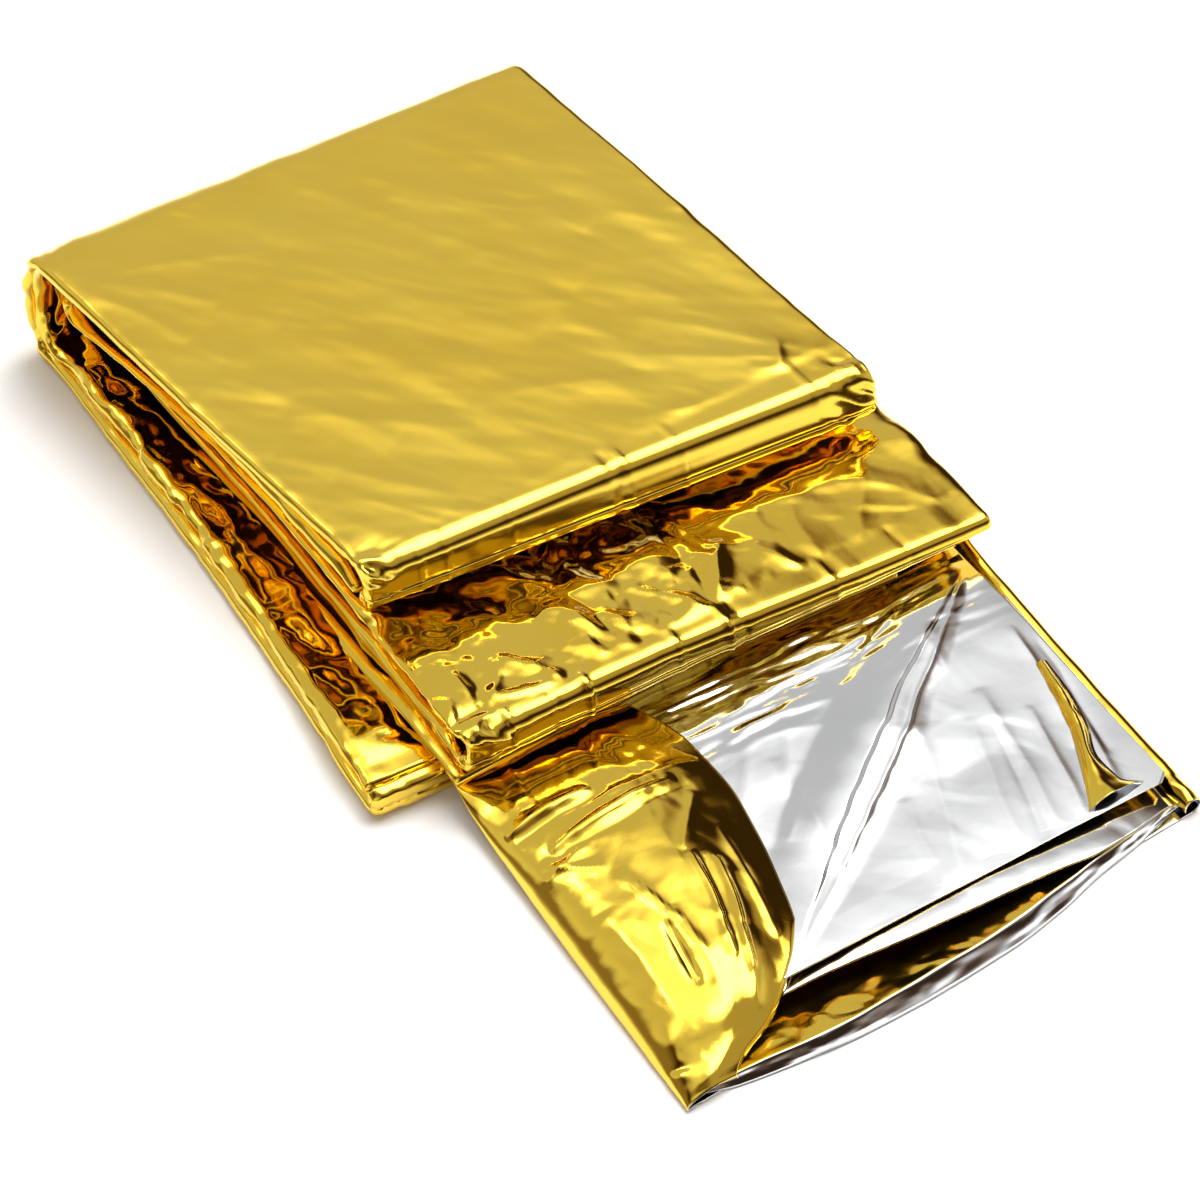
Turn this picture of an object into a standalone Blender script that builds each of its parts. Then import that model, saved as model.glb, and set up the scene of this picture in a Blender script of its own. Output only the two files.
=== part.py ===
"""Emergency foil blanket: one metallised sheet, folded lengthwise into a strip.

The strip lies back and forth in skewed runs: a long run whose front end is opened
like a mouth, a middle run on it, a top run over that, and a base run on the floor
that the top run wraps round to at the back. Sizes are in millimetres in the tables
and in metres in the scene. Left is -X, the mouth's end is -Y, up is +Z.
"""
import math

import bmesh
import bpy
import numpy as np

MM = 0.001

# Driving dimensions, in millimetres
STRIP_THICKNESS = 2.4          # the strip's plies together, pressed flat
PLY_THICKNESS = 1.6            # one opened layer at the mouth
STEP_ALONG = 16.0              # spacing of the rows along a run
STEPS_ROUND_FOLD = 8           # rows round a fold
STEPS_ACROSS = 9               # columns across the strip
CURL_STEPS_ALONG = 11          # rows along a curled edge
SILVER_STEPS = (11, 18)        # rows along and columns across the silver layer
REST_HEIGHT = STRIP_THICKNESS / 2

# Fold lines seen from above: the furthest reach of each fold.
# name: (left x, left y, right x, right y, depth at left, depth at right, roundness)
FOLDS = {
    "mouth": (-36, -521, 231, -517, 0, 0, 1.0),
    "lower_back": (14, 1, 283, -6, 8, 8, 1.0),
    "middle_front": (-11, -339, 259, -353, 8, 3, 0.8),
    "upper_back": (6, -1, 268, -9, 9, 9, 1.0),
    "top_front": (0, -253, 257, -273, 9, 9, 0.7),
    "outer_back": (-2, 13, 262, 8, 16, 16, 0.9),
    "base_front": (-46, -322, 214, -346, 7, 5, 0.9),
    "tuck_end": (-35, -241, 225, -264, 0, 0, 1.0),
}

# The runs, in order from the mouth to the end tucked under the base.
# name: (from fold, to fold, sideways bow of its edges)
RUNS = {
    "long": ("mouth", "lower_back", 4),
    "middle_return": ("lower_back", "middle_front", 10),
    "middle": ("middle_front", "upper_back", 10),
    "top_return": ("upper_back", "top_front", 6),
    "top": ("top_front", "outer_back", 0),
    "base": ("outer_back", "base_front", 4),
    "tuck": ("base_front", "tuck_end", 0),
}

# Height of each run's middle surface above the floor.
# Each row: (y, height at the left edge, height at the right edge)
HEIGHTS = {
    "long": (
        (0, 6, 6),
        (-190, 6, 6),
        (-240, 8.4, 7.8),
        (-262, 10.6, 9.2),
        (-300, 16, 12.5),
        (-330, 18.4, 14.5),
        (-352, 15.5, 14.5),
        (-385, 7.5, 8),
        (-425, 2.6, 3),
        (-455, REST_HEIGHT, REST_HEIGHT),
        (-530, REST_HEIGHT, REST_HEIGHT),
    ),
    "middle_return": (
        (0, 22, 20),
        (-90, 13, 12),
        (-200, 11, 11),
        (-262, 14.6, 13.2),
        (-300, 20, 17),
        (-345, 22.5, 19),
    ),
    "middle": (
        (0, 27, 26),
        (-90, 31, 27),
        (-200, 35, 26),
        (-262, 36.5, 25.5),
        (-345, 38, 23.5),
    ),
    "top_return": (
        (0, 46, 44),
        (-90, 42, 39),
        (-262, 40, 29),
    ),
    "top": (
        (0, 61, 55),
        (-130, 60.5, 53.5),
        (-262, 61, 50.5),
    ),
    "base": (
        (0, REST_HEIGHT, REST_HEIGHT),
        (-195, REST_HEIGHT, REST_HEIGHT),
        (-240, 4.6, 4.2),
        (-262, 6.8, 5.4),
        (-300, 12, 8.5),
        (-335, 14.6, 10.5),
    ),
    "tuck": (
        (0, REST_HEIGHT, REST_HEIGHT),
        (-350, REST_HEIGHT, REST_HEIGHT),
    ),
}

# The middle run swells a little towards its front, a third of the way across.
MIDDLE_SWELL = 2.5             # height of the swelling
MIDDLE_SWELL_ACROSS = 0.35     # its place across the strip
MIDDLE_SWELL_WIDTH = 0.25      # its half width across the strip
MIDDLE_SWELL_Y = -330          # its place along the run
MIDDLE_SWELL_LENGTH = 45       # its half length

# The long run's front edge bows forwards and turns up into a lip.
FRONT_BOW = 16
FRONT_BOW_LENGTH = 90          # how far back the bow is felt
LIP_HEIGHT = 6
LIP_LENGTH = 4.5
LIP_STEPS = 3

# Edges that curl up and over their own run.
# Each row: (y, reach inwards from the edge, height of the curl, height of its free edge)
CURL_OVERLAP = 8               # how far a curl starts inside its run
FLAP = (
    (-346, 90, 3, 3),
    (-380, 98, 5, 6.5),
    (-412, 97, 5.5, 10),
    (-450, 91, 5.5, 12),
    (-485, 77, 5.5, 12),
    (-506, 51, 5.5, 9.5),
    (-515, 30, 5, 7),
)
RIGHT_ROLL = (
    (-360, 12, 3, 3),
    (-385, 15, 7, 6.5),
    (-450, 15, 7.5, 7),
    (-512, 13, 6.5, 6),
)
BASE_RIM = (
    (-30, 11, 4, 4),
    (-110, 15, 8.5, 7.5),
    (-230, 20, 9, 7.5),
    (-265, 20, 6.5, 5.5),
    (-300, 18, 3.5, 3),
    (-312, 16, 3, 2.5),
)

# Silver layer between the flap and the bottom layer.
# Each row: (y, height in the middle above the bottom layer)
SILVER = (
    (-332, 0.6),
    (-350, 0.8),
    (-380, 4.4),
    (-412, 7.6),
    (-450, 9.5),
    (-485, 9.5),
    (-506, 9),
)
SILVER_LEFT = 20               # its left edge, from the long run's left edge
SILVER_RIGHT = 7               # its right edge, from the long run's right edge
SILVER_EDGE_HEIGHT = 3.3       # its height at both side edges
SILVER_RIDGE = 2.5             # height of the slanting ridge across it
SILVER_RIDGE_WIDTH = 11
SILVER_RIDGE_ENDS = ((238, -372), (40, -500))


def curve_through(x, rows, column):
    """Smooth curve through the table's points, level at both ends.

    Each stretch is a cubic. Its slope at a point is the harmonic mean of the slopes
    on both sides, and none where they differ in sign, so it never overshoots.
    """
    table = np.array(sorted(rows), dtype=float)
    at, value = table[:, 0], table[:, column]
    rise = np.diff(value) / np.diff(at)
    slope = np.zeros(len(at))
    for i in range(1, len(at) - 1):
        if rise[i - 1] * rise[i] > 0:
            slope[i] = 2 * rise[i - 1] * rise[i] / (rise[i - 1] + rise[i])
    x = np.clip(x, at[0], at[-1])
    i = np.clip(np.searchsorted(at, x) - 1, 0, len(at) - 2)
    span = at[i + 1] - at[i]
    t = (x - at[i]) / span
    return (
        value[i] * (1 + 2 * t) * (1 - t) ** 2
        + slope[i] * span * t * (1 - t) ** 2
        + value[i + 1] * t * t * (3 - 2 * t)
        + slope[i + 1] * span * t * t * (t - 1)
    )


def fold_line(name, v):
    """Furthest line of a fold, where v runs from 0 at the left to 1 at the right."""
    left_x, left_y, right_x, right_y = FOLDS[name][:4]
    return left_x + (right_x - left_x) * v, left_y + (right_y - left_y) * v


def fold_depth(name, v):
    """How far a fold bulges past the ends of its two runs."""
    left, right = FOLDS[name][4:6]
    return left + (right - left) * v


def outward(name):
    """Level unit vector square to a fold's line, pointing away from the runs."""
    left_x, left_y, right_x, right_y = FOLDS[name][:4]
    length = math.hypot(right_x - left_x, right_y - left_y)
    across = np.array([right_x - left_x, right_y - left_y]) / length
    towards = 1 if name.endswith("back") or name == "tuck_end" else -1
    return np.array([-across[1], across[0]]) * towards


def run_end(name, v):
    """Line where a run stops and the fold's bend begins."""
    x, y = fold_line(name, v)
    out = outward(name)
    return x - out[0] * fold_depth(name, v), y - out[1] * fold_depth(name, v)


def run_height(run, y, v):
    """Height of a run's middle surface at y, a share v of the way across."""
    left = curve_through(y, HEIGHTS[run], 1)
    right = curve_through(y, HEIGHTS[run], 2)
    z = left + (right - left) * v
    if run == "middle":
        across = (v - MIDDLE_SWELL_ACROSS) / MIDDLE_SWELL_WIDTH
        along = (y - MIDDLE_SWELL_Y) / MIDDLE_SWELL_LENGTH
        z = z + MIDDLE_SWELL * np.exp(-across**2 - along**2)
    return z


def run_point(run, u, v):
    """Point on a run: u from its first fold to its second, v across the strip."""
    first, second, bow = RUNS[run]
    x0, y0 = run_end(first, v)
    x1, y1 = run_end(second, v)
    x = x0 + (x1 - x0) * u + bow * np.sin(math.pi * u)
    y = y0 + (y1 - y0) * u
    z = run_height(run, y, v)
    if run == "long":
        from_edge = (y - y0) * np.ones_like(v)
        y = y - FRONT_BOW * np.sin(math.pi * v) * np.clip(1 - from_edge / FRONT_BOW_LENGTH, 0, 1)
        lip = np.clip(1 - from_edge / LIP_LENGTH, 0, 1) ** 1.5
        z = z + LIP_HEIGHT * np.sin(math.pi * v) ** 0.6 * lip
    return np.stack([x, y, z], axis=-1)


def fold_point(run, next_run, angle, v):
    """Point on the bend between two runs: a flattened half circle from one to the next."""
    name = RUNS[run][1]
    start = run_point(run, np.ones_like(v), v)
    end = run_point(next_run, np.zeros_like(v), v)
    roundness = FOLDS[name][6]
    reach = fold_depth(name, v) * np.sin(angle) ** roundness
    rise = np.sign(np.cos(angle)) * np.abs(np.cos(angle)) ** roundness
    out = outward(name)
    middle = (start[..., 2] + end[..., 2]) / 2
    half = (start[..., 2] - end[..., 2]) / 2
    return np.stack(
        [start[..., 0] + out[0] * reach, start[..., 1] + out[1] * reach, middle + half * rise],
        axis=-1,
    )


def strip_grid():
    """Middle surface of the whole strip, as rows of points from mouth to tucked end."""
    v = np.linspace(0, 1, STEPS_ACROSS + 1)
    names = list(RUNS)
    rows = []
    for i, run in enumerate(names):
        ends = run_point(run, np.array([0.0, 1.0]), np.array([0.5, 0.5]))
        steps = max(3, round(float(np.linalg.norm(ends[1] - ends[0])) / STEP_ALONG))
        shares = np.linspace(0, 1, steps + 1)
        if run == "long":
            lip = np.linspace(0, LIP_LENGTH, LIP_STEPS + 1) / (steps * STEP_ALONG)
            shares = np.concatenate([lip, shares[1:]])
        for u in shares:
            rows.append(run_point(run, np.full_like(v, u), v))
        if i + 1 < len(names):
            for angle in np.linspace(0, math.pi, STEPS_ROUND_FOLD + 1)[1:-1]:
                rows.append(fold_point(run, names[i + 1], angle, v))
    return np.array(rows)


def run_edges(run, y):
    """Left and right edges of a run at y."""
    first, second, bow = RUNS[run]
    edges = []
    for side in (0.0, 1.0):
        x0, y0 = run_end(first, side)
        x1, y1 = run_end(second, side)
        u = (y - y0) / (y1 - y0)
        edges.append(x0 + (x1 - x0) * u + bow * math.sin(math.pi * u))
    return edges


def curl_profile(reach, curl_height, edge_height):
    """Cross-section of an edge that curls up and over its run.

    It starts flat inside the run, goes round a half circle at the edge, and then
    goes evenly to its free edge. Each point is (inwards, upwards).
    """
    radius = curl_height / 2
    points = [(CURL_OVERLAP, 0.0), (radius + 1, 0.0)]
    for angle in np.linspace(0, math.pi, 7):
        points.append((radius - radius * math.sin(angle), radius - radius * math.cos(angle)))
    for share in (0.2, 0.45, 0.7, 0.88, 1.0):
        points.append(
            (
                radius + (reach - radius) * share,
                curl_height + (edge_height - curl_height) * share,
            )
        )
    return np.array(points)


def curl_grid(run, rows, side):
    """An edge of a run curled over, side +1 for its left edge, -1 for its right."""
    grid = []
    for y in np.linspace(rows[0][0], rows[-1][0], CURL_STEPS_ALONG + 1):
        reach, curl_height, edge_height = (float(curve_through(y, rows, i)) for i in (1, 2, 3))
        profile = curl_profile(reach, curl_height, edge_height)
        left, right = run_edges(run, y)
        edge = left if side > 0 else right
        x = edge + side * profile[:, 0]
        v = (x - left) / (right - left)
        z = run_height(run, y, v) + profile[:, 1]
        grid.append(np.stack([x, np.full_like(x, y), z], axis=-1))
    return np.array(grid)


def silver_grid():
    """The silver layer between the flap and the bottom layer."""
    ys = np.linspace(SILVER[0][0], SILVER[-1][0], SILVER_STEPS[0] + 1)
    w = np.linspace(0, 1, SILVER_STEPS[1] + 1)
    (ridge_x0, ridge_y0), (ridge_x1, ridge_y1) = SILVER_RIDGE_ENDS
    ridge_length = math.hypot(ridge_x1 - ridge_x0, ridge_y1 - ridge_y0)
    grid = []
    for y in ys:
        left, right = run_edges("long", y)
        x = left + SILVER_LEFT + (right - SILVER_RIGHT - left - SILVER_LEFT) * w
        middle = float(curve_through(y, SILVER, 1))
        edge = min(SILVER_EDGE_HEIGHT, middle)
        crown = np.clip(4 * w * (1 - w), 0, 1) ** 0.6
        across_ridge = (
            (x - ridge_x0) * (ridge_y1 - ridge_y0) - (y - ridge_y0) * (ridge_x1 - ridge_x0)
        ) / ridge_length
        fade = np.clip((SILVER[0][0] - y) / 60, 0, 1)
        ridge = SILVER_RIDGE * fade * crown * np.exp(-((across_ridge / SILVER_RIDGE_WIDTH) ** 2))
        v = (x - left) / (right - left)
        z = run_height("long", y, v) + edge + (middle - edge) * crown + ridge
        grid.append(np.stack([x, np.full_like(x, y), z], axis=-1))
    return np.array(grid)


def sheet_points(grid, thickness):
    """Both faces of a sheet: its middle surface moved half the thickness each way."""
    along = np.gradient(grid, axis=0)
    across = np.gradient(grid, axis=1)
    normal = np.cross(across, along)
    normal /= np.linalg.norm(normal, axis=-1, keepdims=True)
    half = normal * thickness / 2
    return np.concatenate([(grid + half).reshape(-1, 3), (grid - half).reshape(-1, 3)])


def sheet_faces(rows, columns):
    """Faces of a sheet's two sides and of the rim that closes it."""
    index = np.arange(rows * columns).reshape(rows, columns)
    under = index + rows * columns
    rim = np.concatenate([index[0, :-1], index[:-1, -1], index[-1, :0:-1], index[:0:-1, 0]])
    after = np.roll(rim, -1)
    edge = np.stack([rim, after, after + rows * columns, rim + rows * columns], axis=-1)
    return np.concatenate([quads(index), quads(under[:, ::-1]), edge])


def quads(index):
    """Four-cornered faces over a grid of point numbers."""
    corners = [index[:-1, :-1], index[1:, :-1], index[1:, 1:], index[:-1, 1:]]
    return np.stack(corners, axis=-1).reshape(-1, 4)


def face_outwards(obj):
    """Turns all faces of a closed mesh outwards."""
    mesh = bmesh.new()
    mesh.from_mesh(obj.data)
    bmesh.ops.recalc_face_normals(mesh, faces=mesh.faces)
    mesh.to_mesh(obj.data)
    mesh.free()


def solid(name, points, faces):
    """Mesh object from points in millimetres, its faces turned outwards."""
    mesh = bpy.data.meshes.new(name)
    mesh.from_pydata((points * MM).tolist(), [], faces.tolist())
    mesh.update()
    obj = bpy.data.objects.new(name, mesh)
    bpy.context.collection.objects.link(obj)
    face_outwards(obj)
    return obj


def join_solids(base, others):
    """Fuses the opened layers with the strip into one body."""
    for other in others:
        union = base.modifiers.new("fuse_" + other.name, "BOOLEAN")
        union.operation = "UNION"
        union.solver = "EXACT"
        union.object = other
        other.hide_render = True
        other.display_type = "WIRE"


def floor_centre(points):
    """Middle of the outline seen from above, at the height of the lowest point."""
    low, high = points.min(axis=0), points.max(axis=0)
    return np.array([(low[0] + high[0]) / 2, (low[1] + high[1]) / 2, low[2]])


def foil_material():
    """Gold metallised film."""
    material = bpy.data.materials.new("gold_foil")
    material.use_nodes = True
    shader = material.node_tree.nodes["Principled BSDF"]
    shader.inputs["Base Color"].default_value = (0.78, 0.53, 0.12, 1)
    shader.inputs["Metallic"].default_value = 1.0
    shader.inputs["Roughness"].default_value = 0.25
    return material


def main():
    for obj in list(bpy.data.objects):
        bpy.data.objects.remove(obj)
    sheets = {
        "foil_blanket": (strip_grid(), STRIP_THICKNESS),
        "flap_layer": (curl_grid("long", FLAP, 1), PLY_THICKNESS),
        "roll_layer": (curl_grid("long", RIGHT_ROLL, -1), PLY_THICKNESS),
        "rim_layer": (curl_grid("base", BASE_RIM, 1), PLY_THICKNESS),
        "silver_layer": (silver_grid(), PLY_THICKNESS),
    }
    points = {name: sheet_points(grid, thick) for name, (grid, thick) in sheets.items()}
    origin = floor_centre(np.concatenate(list(points.values())))
    solids = [
        solid(name, points[name] - origin, sheet_faces(*grid.shape[:2]))
        for name, (grid, thick) in sheets.items()
    ]
    blanket, layers = solids[0], solids[1:]
    join_solids(blanket, layers)
    blanket.data.materials.append(foil_material())


main()
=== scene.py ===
"""Emergency foil blanket, dressed: one metallised sheet, gold outside and silver inside.

Sizes in the tables are millimetres in the folder's own plan: X to the right, Y to the
back, Z up, with the back left crease of the top run near the origin. Every finished
mesh is moved by ORIGIN and turned into metres.
"""

import math

import bpy
import numpy as np
from mathutils import Matrix, Vector


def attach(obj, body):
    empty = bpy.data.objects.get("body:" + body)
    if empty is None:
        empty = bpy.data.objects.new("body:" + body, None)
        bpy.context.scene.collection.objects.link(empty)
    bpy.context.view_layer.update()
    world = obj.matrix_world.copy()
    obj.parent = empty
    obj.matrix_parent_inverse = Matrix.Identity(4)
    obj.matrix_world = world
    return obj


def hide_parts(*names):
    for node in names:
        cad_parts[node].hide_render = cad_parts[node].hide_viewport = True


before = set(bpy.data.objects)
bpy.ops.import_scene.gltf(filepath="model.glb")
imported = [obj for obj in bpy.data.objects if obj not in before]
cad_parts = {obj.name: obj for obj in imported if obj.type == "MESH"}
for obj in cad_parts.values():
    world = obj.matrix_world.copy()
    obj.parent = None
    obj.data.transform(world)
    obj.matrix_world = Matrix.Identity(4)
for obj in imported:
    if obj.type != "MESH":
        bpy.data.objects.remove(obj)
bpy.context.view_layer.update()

MM = 0.001
ORIGIN = np.array([118.93, -260.893, 0.0])
STRIP_WIDTH = 267.0
LOWEST = 0.15                  # nothing dips below this height

# Furthest reach of each fold, seen from above.
# name: (left x, left y, right x, right y, depth at left, depth at right, roundness)
FOLDS = {
    "mouth": (-36, -521, 231, -517, 0, 0, 1.0),
    "lower_back": (14, 1, 283, -6, 8, 8, 1.0),
    "middle_front": (-11, -339, 259, -353, 8, 6, 0.8),
    "upper_back": (6, -1, 268, -9, 9, 9, 1.0),
    "top_front": (0, -253, 257, -275, 9, 11, 0.7),
    "outer_back": (-4, 18, 262, 8, 20, 16, 0.85),
    "base_front": (-46, -322, 214, -346, 7, 5, 0.9),
    "inner_back": (-2, 10, 262, 2, 15, 13, 0.8),
}

# name: (from fold, to fold, sideways bow of its edges)
RUNS = {
    "long": ("mouth", "lower_back", 4),
    "middle_return": ("lower_back", "middle_front", 10),
    "middle": ("middle_front", "upper_back", 10),
    "top_return": ("upper_back", "top_front", 6),
    "top": ("top_front", "outer_back", 0),
    "base": ("outer_back", "base_front", 4),
    "inner_top": ("inner_back", "top_front", 3),
    "inner_base": ("base_front", "inner_back", 5),
}

# Height of each run's middle surface. Each row: (y, at the left edge, at the right edge)
HEIGHTS = {
    "long": (
        (0, 6, 6), (-190, 6, 6), (-240, 8.4, 7.8), (-262, 10.6, 9.2), (-300, 14.5, 12),
        (-330, 14.5, 12), (-352, 7.5, 7), (-385, 4.2, 4.2), (-425, 2.2, 2.2),
        (-455, 1.4, 1.4), (-530, 1.4, 1.4),
    ),
    "middle_return": (
        (0, 22, 20), (-90, 13, 12), (-200, 11, 11), (-262, 14.6, 13.2), (-300, 20, 17),
        (-345, 22.5, 19),
    ),
    "middle": (
        (0, 27, 26), (-90, 31, 26), (-200, 31, 22.5), (-262, 29.5, 19.8), (-290, 34, 22.8),
        (-345, 38, 23.5),
    ),
    "top_return": ((0, 41, 39), (-90, 40, 36), (-262, 40, 29)),
    "top": ((0, 61, 55), (-130, 60.5, 53.5), (-262, 61, 50.5)),
    "base": ((0, 1.2, 1.2), (-340, 1.2, 1.2)),
    "inner_top": ((0, 53, 47), (-90, 48.5, 43), (-180, 44, 37), (-262, 40, 30)),
    "inner_base": (
        (0, 8.5, 8.5), (-195, 7.2, 7), (-240, 8.4, 7.5), (-262, 10, 8.4), (-300, 13.2, 9.8),
        (-335, 14.0, 10.5),
    ),
}
MIDDLE_SWELL = 2.5, (0.35, -330, 0.25, 45)   # height, and its bell: share across, y, half sizes

# Shape of a fold's face from its lower run to its upper one.
# Each row: (share of the way, fall from +1 at the start to -1 at the end,
# reach 0 to 1 at the left end, reach at the right end)
FACES = {
    "top_front": (
        (0.0, 1.0, 0.0, 0.0), (0.10, 0.99, 0.55, 0.55), (0.18, 0.88, 0.94, 0.92),
        (0.28, 0.68, 1.0, 1.0), (0.36, 0.52, 0.97, 0.97), (0.39, 0.47, 0.76, 0.80),
        (0.41, 0.44, 0.72, 0.77), (0.43, 0.41, 0.86, 0.88), (0.47, 0.34, 1.0, 0.96),
        (0.62, -0.20, 0.98, 0.80), (0.72, -0.54, 0.92, 0.67), (0.78, -0.71, 0.83, 0.58),
        (0.82, -0.805, 0.72, 0.50), (0.87, -0.895, 0.53, 0.36), (0.93, -0.968, 0.26, 0.17),
        (1.0, -1.0, 0.0, 0.0),
    ),
    "middle_front": (
        (0.0, 1.0, 0.0, 0.0), (0.10, 0.97, 0.55, 0.55), (0.20, 0.80, 0.92, 0.92),
        (0.31, 0.58, 0.97, 0.98), (0.35, 0.49, 0.76, 0.80), (0.38, 0.45, 0.75, 0.78),
        (0.43, 0.34, 0.97, 0.96), (0.66, -0.36, 0.92, 0.84), (0.78, -0.72, 0.78, 0.66),
        (0.85, -0.89, 0.58, 0.46), (0.93, -0.98, 0.26, 0.20), (1.0, -1.0, 0.0, 0.0),
    ),
    "base_front": (
        (0.0, 1.0, 0.0, 0.0), (0.12, 0.93, 0.62, 0.62), (0.30, 0.62, 0.98, 0.98),
        (0.42, 0.30, 1.0, 1.0), (0.50, 0.08, 0.86, 0.86), (0.58, -0.12, 0.97, 0.97),
        (0.78, -0.66, 0.94, 0.94), (0.92, -0.95, 0.45, 0.45), (1.0, -1.0, 0.0, 0.0),
    ),
}


def curve_through(x, rows, column=1):
    """Smooth curve through a table's points: cubics with harmonic mean slopes."""
    table = np.array(sorted(rows), dtype=float)
    at, value = table[:, 0], table[:, column]
    rise = np.diff(value) / np.diff(at)
    same = rise[:-1] * rise[1:] > 0
    mean = 2 * rise[:-1] * rise[1:] / np.where(same, rise[:-1] + rise[1:], 1)
    slope = np.zeros(len(at))
    slope[1:-1] = np.where(same, mean, 0)
    x = np.clip(x, at[0], at[-1])
    i = np.clip(np.searchsorted(at, x) - 1, 0, len(at) - 2)
    span = at[i + 1] - at[i]
    t = (x - at[i]) / span
    return (
        value[i] * (1 + 2 * t) * (1 - t) ** 2
        + slope[i] * span * t * (1 - t) ** 2
        + value[i + 1] * t * t * (3 - 2 * t)
        + slope[i + 1] * span * t * t * (t - 1)
    )


def curves(x, rows):
    """Smooth curves through all of a table's columns but the first."""
    return [curve_through(x, rows, column) for column in range(1, len(rows[0]))]


def ease(x):
    """Smooth step from 0 to 1, a cubic. ease((y - a) / b) opens at a and is fully open b
    further on, and ease((a - y) / b) opens the other way."""
    x = np.clip(x, 0, 1)
    return x * x * (3 - 2 * x)


def between(first, last, share):
    """Value a share of the way from the first to the last."""
    return first + (last - first) * share


def spaced(stops):
    """Values in even steps from stop to stop. Each stop: (value, steps on to the next)."""
    parts = [
        np.linspace(start, end, steps, endpoint=False)
        for (start, steps), (end, _) in zip(stops, stops[1:])
    ]
    return np.concatenate([*parts, [stops[-1][0]]])


# Uneven surfaces

LATTICE = 64                   # cells each way before random heights repeat
CREST = 0.8                    # a crease is rounded within this of its line
EDGE_FADE = 7                  # the facets along an edge fade over this


def lattice_cell(x, y, seed):
    """Random heights from 0 to 1 at the corners of each point's square cell, and its place
    in the cell: the heights at (0, 0), (1, 0), (0, 1) and (1, 1), then both shares."""
    table = np.random.default_rng(seed).random((LATTICE, LATTICE))
    i, j = np.floor(x).astype(int), np.floor(y).astype(int)
    fx, fy = x - i, y - j
    i, j, k, m = i % LATTICE, j % LATTICE, (i + 1) % LATTICE, (j + 1) % LATTICE
    return table[i, j], table[k, j], table[i, m], table[k, m], fx, fy


def soft_noise(x, y, seed):
    """Smooth random heights from -1 to 1: a square lattice, eased between its corners."""
    a, b, c, d, fx, fy = lattice_cell(x, y, seed)
    fx, fy = ease(fx), ease(fy)
    low, high = a * (1 - fx) + b * fx, c * (1 - fx) + d * fx
    return 2 * (low * (1 - fy) + high * fy) - 1


def facets(x, y, seed):
    """Flat facets from -1 to 1: planes through random heights at a triangle's corners. The
    lattice's squares are sheared by half a cell and halved, into nearly even triangles."""
    a, b, c, d, fx, fy = lattice_cell(x + y * 0.5, y * 0.866, seed)
    lower = a + (b - a) * fx + (d - b) * fy
    upper = a + (c - a) * fy + (d - c) * fx
    return 2 * np.where(fx > fy, lower, upper) - 1


def turned_cells(x, y, cell, stretch, turn):
    """The plan turned by an angle and counted in cells, longer by stretch one way."""
    c, s = math.cos(turn), math.sin(turn)
    return (x * c + y * s) / (cell * stretch), (y * c - x * s) / cell


def crumple(x, y, cell, seed, stretch=1.0, turn=0.0):
    """Crumpled foil from about -1 to 1: large facets and lower ones of about half their
    size, on a lattice that soft noise pulls out of true."""
    p, q = turned_cells(x, y, cell, stretch, turn)
    p = p + 0.55 * soft_noise(0.8 * p + 3.3, 0.8 * q, seed + 1)
    q = q + 0.55 * soft_noise(0.8 * p, 0.8 * q + 7.7, seed + 2)
    small = facets(2.1 * p + 0.4, 2.1 * q + 0.7, seed + 3)
    return 0.72 * facets(p, q, seed) + 0.28 * small


def streaks(x, y, cell, seed, stretch, turn):
    """Long soft swells from about -1 to 1: soft noise at two sizes, stretched one way."""
    p, q = turned_cells(x, y, cell, stretch, turn)
    q = q + 0.5 * soft_noise(0.6 * p, 0.6 * q, seed + 5)
    return 0.65 * soft_noise(p, q, seed) + 0.35 * soft_noise(2.2 * p, 2.2 * q, seed + 1)


def bell(x, y, row):
    """Rounded window: the exponential of minus the squared shares of its half sizes.

    row is (x, y, half width, half length)."""
    return np.exp(-(((x - row[0]) / row[2]) ** 2) - ((y - row[1]) / row[3]) ** 2)


def ridge(off, crest, width):
    """Ridge along a line, from the distance off it: it falls exponentially to both sides
    and is rounded within crest of the line."""
    return np.exp((crest - np.sqrt(off**2 + crest**2)) / width)


def creases(x, y, rows):
    """Straight creases in plan: ridges along slightly wandering lines, which sink towards
    both ends as half an ellipse does.

    Each row: (x, y at one end, x, y at the other, height, half width)."""
    total = np.zeros_like(x)
    for x0, y0, x1, y1, height, width in rows:
        length = math.hypot(x1 - x0, y1 - y0)
        along = ((x - x0) * (x1 - x0) + (y - y0) * (y1 - y0)) / length**2
        wander = 1.5 * soft_noise(along * length / 24, along * 0 + x0 * 0.1, 77)
        off = ((x - x0) * (y1 - y0) - (y - y0) * (x1 - x0)) / length + wander
        end = np.sqrt(np.clip(1 - (2 * along - 1) ** 2, 0, 1))
        total += height * end * ridge(off, CREST, width)
    return total


def pinches(x, rows):
    """Short pinches across a crest: each falls exponentially to both sides of its x.

    Each row: (x, height, half width)."""
    total = np.zeros_like(x)
    for place, height, width in rows:
        total += height * np.exp(-np.abs(x - place) / width)
    return total


def edge_crumple(s, near, height, cell, seed):
    """Facets along the strip's edges, which fade exponentially inwards."""
    return height * np.exp(-near / EDGE_FADE) * crumple(s, near, cell, seed)


def crumpled_corners(h, p, rows):
    """Heights h with corners crumpled: facets on a slanting plane, inside a bell.

    Each row: (height, x, y, half width, half length, cell, seed)."""
    x, y, z = p[..., 0], p[..., 1], p[..., 2]
    for height, *window, cell, seed in rows:
        h = h + height * bell(x, y, window) * crumple(x + z, y - z, cell, seed)
    return h


# The folded strip

REACH_CHANGE = 0.55            # share of the width over which a face's reach changes


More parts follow.
